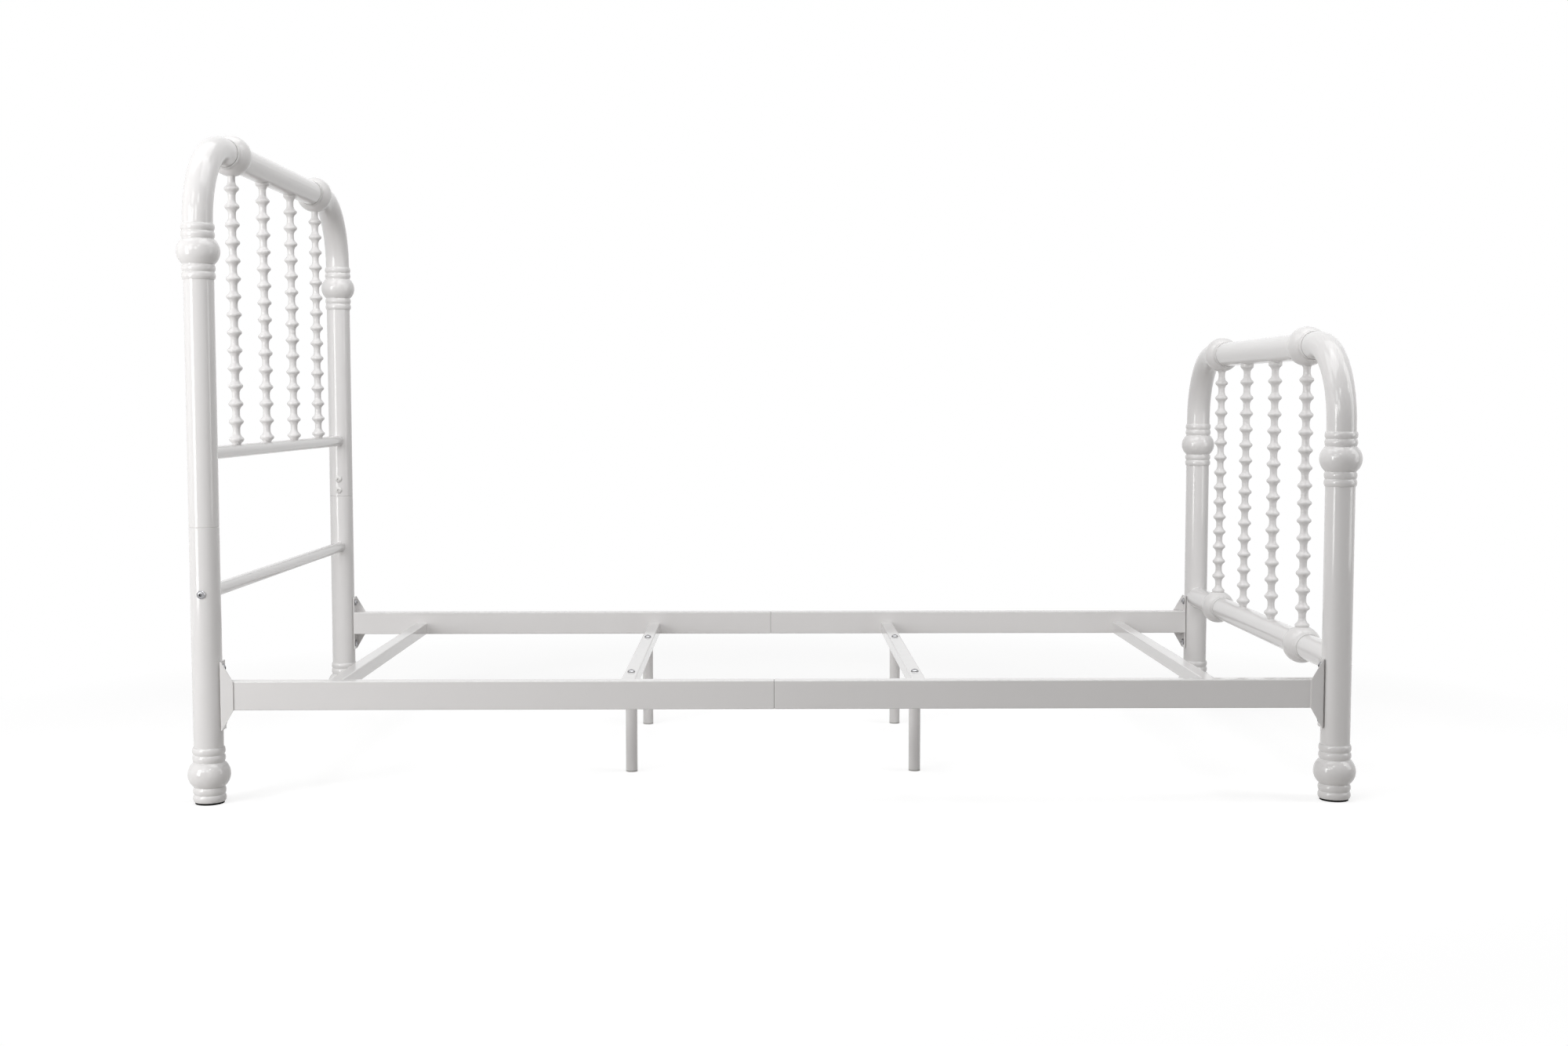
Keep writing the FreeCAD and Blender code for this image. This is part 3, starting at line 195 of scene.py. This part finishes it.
def coat(name, colour, shade, roughness, peel, edge):
    """Sprayed white finish: slow drift of tone, painted shade in the grooves, orange peel and soft edges.
    """
    material, tree = new_material(name)
    tone = blend(tree, noise(tree, COAT_TONE_GRAIN), colour, shade)
    skin = noise(tree, peel, detail=3.0)
    return finish(material, tree, {
        "Base Color": painted_hollow_shade(tree, COAT_GROOVE, COAT_GROOVE_RANGE, 8, COAT_PAINTED_SHADE, tone),
        "Roughness": sheen(tree, COAT_SHEEN_GRAIN, roughness, COAT_SHEEN_RANGE),
        "IOR": COAT_INDEX,
        "Normal": bumps(tree, skin, PEEL_STRENGTH, PEEL_DEPTH, Normal=soft_edge(tree, edge)),
    })


def bare_metal(name, colour, tarnish, roughness):
    """Plated or plain steel with a mottled skin and near-black painted shade in its recesses."""
    material, tree = new_material(name)
    tone = blend(tree, noise(tree, METAL_TONE_GRAIN, detail=4.0), colour, tarnish)
    skin = noise(tree, METAL_SKIN_GRAIN)
    return finish(material, tree, {
        "Base Color": painted_hollow_shade(tree, METAL_HOLLOW, METAL_HOLLOW_RANGE, 4, METAL_PAINTED_SHADE, tone),
        "Metallic": 1.0,
        "Roughness": sheen(tree, METAL_SHEEN_GRAIN, roughness, METAL_SHEEN_RANGE),
        "Normal": bumps(tree, skin, METAL_SKIN_STRENGTH, METAL_SKIN_DEPTH,
                        Normal=soft_edge(tree, METAL_EDGE)),
    })


def moulded(name, colour, worn, roughness, shine):
    """Moulded plastic or rubber with a fine grain and scuffed patches."""
    material, tree = new_material(name)
    skin = noise(tree, MOULD_SKIN_GRAIN)
    return finish(material, tree, {
        "Base Color": blend(tree, noise(tree, MOULD_TONE_GRAIN, detail=5.0, roughness=0.7), colour, worn),
        "Roughness": sheen(tree, MOULD_SHEEN_GRAIN, roughness, MOULD_SHEEN_RANGE),
        "Specular IOR Level": shine,
        "Normal": bumps(tree, skin, MOULD_SKIN_STRENGTH, MOULD_SKIN_DEPTH),
    })


def paint_nodes():
    """Gives each solid the finish of its slot in the record."""
    finishes = {slot: coat(*row) for slot, row in COATS.items()}
    finishes.update({slot: bare_metal(*row) for slot, row in METALS.items()})
    finishes.update({slot: moulded(*row) for slot, row in MOULDINGS.items()})
    for row in frame["record"]["subparts"]:
        materials = frame["nodes"][row["node"]].data.materials
        materials.clear()
        materials.append(finishes[row["material_slot"]])


def seen_directly(tree):
    """One for rays from the camera, and for those that a shiny or clear surface sends on."""
    path = add(tree, "ShaderNodeLightPath").outputs
    either = add(tree, "ShaderNodeMath", {0: path["Is Camera Ray"], 1: path["Is Glossy Ray"]},
                 operation="MAXIMUM")
    any_ray = add(tree, "ShaderNodeMath", {0: either.outputs[0], 1: path["Is Transmission Ray"]},
                  operation="MAXIMUM")
    return any_ray.outputs[0]


def floor_material():
    """Where seen, white with a faint shadow of the bed. For all other rays, pale and matt."""
    material, tree = new_material("pale_floor")
    darker = tuple(FLOOR_DRIFT * part for part in FLOOR_COLOUR)
    drift = blend(tree, noise(tree, FLOOR_GRAIN), FLOOR_COLOUR, darker)
    matt = add(tree, "ShaderNodeBsdfDiffuse", {"Color": drift})
    lit = add(tree, "ShaderNodeBsdfDiffuse", {"Color": FLOOR_LIT})
    glow = add(tree, "ShaderNodeEmission", {"Color": WHITE, "Strength": FLOOR_GLOW})
    near = add(tree, "ShaderNodeAddShader", {0: lit.outputs[0], 1: glow.outputs[0]})
    far = add(tree, "ShaderNodeEmission", {"Color": WHITE, "Strength": 1.0})
    place = add(tree, "ShaderNodeTexCoord").outputs["Object"]
    reach = add(tree, "ShaderNodeVectorMath", {0: place}, operation="LENGTH").outputs["Value"]
    fade = spread(tree, reach, 0.0, 1.0, FLOOR_FADE)
    shown = add(tree, "ShaderNodeMixShader", {"Fac": fade, 1: near.outputs[0], 2: far.outputs[0]})
    surface = add(tree, "ShaderNodeMixShader", {
        "Fac": seen_directly(tree), 1: matt.outputs[0], 2: shown.outputs[0]})
    add(tree, "ShaderNodeOutputMaterial", {"Surface": surface.outputs[0]})
    return material


def make_floor():
    """Plain pale floor under the bed."""
    half = FLOOR_SIZE / 2
    corners = [(-half, -half, 0), (half, -half, 0), (half, half, 0), (-half, half, 0)]
    mesh = bpy.data.meshes.new("floor")
    mesh.from_pydata(corners, [], [(0, 1, 2, 3)])
    mesh.materials.append(floor_material())
    floor = bpy.data.objects.new("floor", mesh)
    bpy.context.scene.collection.objects.link(floor)


def make_world():
    """White background where it is seen. The empty socket of the mix leaves other rays dark."""
    world = bpy.data.worlds.new("studio")
    world.use_nodes = True
    tree = world.node_tree
    tree.nodes.clear()
    plain = add(tree, "ShaderNodeBackground", {"Color": WHITE, "Strength": 1.0})
    seen = add(tree, "ShaderNodeMixShader", {"Fac": seen_directly(tree), 2: plain.outputs[0]})
    add(tree, "ShaderNodeOutputWorld", {"Surface": seen.outputs[0]})
    bpy.context.scene.world = world


def soft_box(name, place, aim, width, height, watts):
    """A rectangular lamp that faces a point. Returns its object."""
    lamp = bpy.data.lights.new(name, "AREA")
    lamp.shape = "RECTANGLE"
    lamp.size = width
    lamp.size_y = height
    lamp.energy = watts
    box = bpy.data.objects.new(name, lamp)
    box.location = place
    box.rotation_mode = "QUATERNION"
    box.rotation_quaternion = (Vector(aim) - Vector(place)).to_track_quat("-Z", "Y")
    bpy.context.scene.collection.objects.link(box)
    return box


def make_lights():
    """Soft boxes round the bed, and the fill behind it."""
    for row in SOFT_BOXES:
        soft_box(*row)
    soft_box(*BACK_FILL).visible_glossy = False


def make_camera():
    """Camera at the photograph's place."""
    data = bpy.data.cameras.new("camera")
    data.sensor_width = SENSOR_WIDTH_MM
    data.lens = CAMERA_LENS_MM
    camera = bpy.data.objects.new("camera", data)
    camera.location = CAMERA_PLACE
    camera.rotation_euler = [math.radians(angle) for angle in CAMERA_TURN_DEG]
    bpy.context.scene.collection.objects.link(camera)
    bpy.context.scene.camera = camera


paint_nodes()
make_floor()
make_world()
make_lights()
make_camera()
bpy.context.scene.view_settings.view_transform = "Standard"
